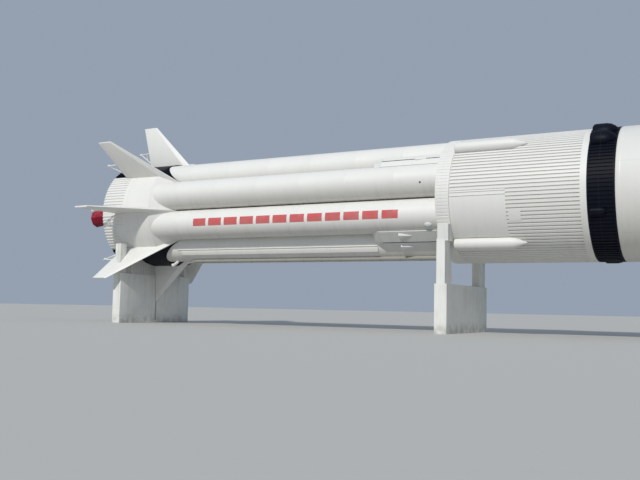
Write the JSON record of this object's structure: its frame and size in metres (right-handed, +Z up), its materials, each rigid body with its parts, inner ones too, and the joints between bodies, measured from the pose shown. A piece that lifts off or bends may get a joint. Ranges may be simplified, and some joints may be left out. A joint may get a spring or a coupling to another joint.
{
  "type": "space rocket, lying level on display piers, 1:2 scale model",
  "caption": "Clustered-tank rocket with crew capsule and escape tower, lying level on wall piers; its outer engines swing on gimbals.",
  "frame": {"origin": "middle of the footprint, on the ground under the piers", "axes": "+X along the rocket towards its nose, +Z up, -Y towards the side that the picture shows"},
  "size_m": [34.169, 6.04, 6.52],
  "materials": {
    "white_paint": "satin white paint, slightly weathered",
    "black_paint": "satin black paint",
    "grey_paint": "light grey paint, matt",
    "engine_metal": "dull heat-stained steel",
    "red_cover": "faded red weather cover",
    "bare_aluminium": "silver painted panels",
    "cork_white": "white painted cork cover, matt",
    "pier_render": "white painted cement render, rain streaked"
  },
  "bodies": {
    "airframe": {"centre_tank": "white_paint", "outer_tank_a": "white_paint", "outer_tank_b": "white_paint", "outer_tank_c": "white_paint", "outer_tank_d": "white_paint", "outer_tank_e": "white_paint", "outer_tank_f": "white_paint", "outer_tank_g": "white_paint", "outer_tank_h": "white_paint", "thrust_frame": "grey_paint", "tail_shroud_top": "black_paint", "tail_shroud_near": "white_paint", "tail_shroud_bottom": "black_paint", "tail_shroud_far": "white_paint", "heat_shield": "grey_paint", "inboard_engine_1": "engine_metal", "inboard_engine_2": "engine_metal", "inboard_engine_3": "engine_metal", "inboard_engine_4": "engine_metal", "fin_1": "white_paint", "fin_2": "white_paint", "fin_3": "white_paint", "fin_4": "white_paint", "fin_5": "white_paint", "fin_6": "white_paint", "fin_7": "white_paint", "fin_8": "white_paint", "forward_collar": "white_paint", "interstage": "white_paint", "aft_skirt": "black_paint", "attitude_module_1": "black_paint", "attitude_module_2": "black_paint", "upper_tank": "white_paint", "forward_skirt": "white_paint", "instrument_ring": "white_paint", "spacecraft_adapter": "white_paint", "service_module": "bare_aluminium", "capsule_cover": "cork_white", "escape_tower": "white_paint", "escape_motor": "white_paint", "tank_conduit": "white_paint", "valley_fairing_upper_near": "grey_paint", "valley_fairing_lower_near": "grey_paint", "valley_fairing_lower_far": "grey_paint", "valley_fairing_upper_far": "grey_paint", "pier_tail": "pier_render", "pier_stage": "pier_render", "pier_forward": "pier_render", "pier_spacecraft": "pier_render"},
    "gimbal_top": {"gimbal_block_top": "engine_metal"},
    "engine_top": {"outboard_engine_top": "engine_metal"},
    "gimbal_near": {"gimbal_block_near": "engine_metal"},
    "engine_near": {"outboard_engine_near": "engine_metal", "engine_cover": "red_cover"},
    "gimbal_bottom": {"gimbal_block_bottom": "engine_metal"},
    "engine_bottom": {"outboard_engine_bottom": "engine_metal"},
    "gimbal_far": {"gimbal_block_far": "engine_metal"},
    "engine_far": {"outboard_engine_far": "engine_metal"}
  },
  "joints": [
    {"name": "engine_top_pitch", "type": "hinge", "parent": "airframe", "child": "gimbal_top", "pos_m": [-15.78547, 0, 4.7065], "axis": [0, 1, 0], "range_deg": [-8, 8]},
    {"name": "engine_top_yaw", "type": "hinge", "parent": "gimbal_top", "child": "engine_top", "pos_m": [-15.78547, 0, 4.7065], "axis": [0.1045, 0, 0.9945], "range_deg": [-8, 8]},
    {"name": "engine_near_pitch", "type": "hinge", "parent": "airframe", "child": "gimbal_near", "pos_m": [-15.78547, -1.2065, 3.5], "axis": [0, 0, 1], "range_deg": [-8, 8]},
    {"name": "engine_near_yaw", "type": "hinge", "parent": "gimbal_near", "child": "engine_near", "pos_m": [-15.78547, -1.2065, 3.5], "axis": [0.1045, -0.9945, 0], "range_deg": [-16, 0]},
    {"name": "engine_bottom_pitch", "type": "hinge", "parent": "airframe", "child": "gimbal_bottom", "pos_m": [-15.78547, 0, 2.2935], "axis": [0, -1, 0], "range_deg": [-8, 8]},
    {"name": "engine_bottom_yaw", "type": "hinge", "parent": "gimbal_bottom", "child": "engine_bottom", "pos_m": [-15.78547, 0, 2.2935], "axis": [0.1045, 0, -0.9945], "range_deg": [-8, 8]},
    {"name": "engine_far_pitch", "type": "hinge", "parent": "airframe", "child": "gimbal_far", "pos_m": [-15.78547, 1.2065, 3.5], "axis": [0, 0, -1], "range_deg": [-8, 8]},
    {"name": "engine_far_yaw", "type": "hinge", "parent": "gimbal_far", "child": "engine_far", "pos_m": [-15.78547, 1.2065, 3.5], "axis": [0.1045, 0.9945, 0], "range_deg": [-8, 8]}
  ]
}
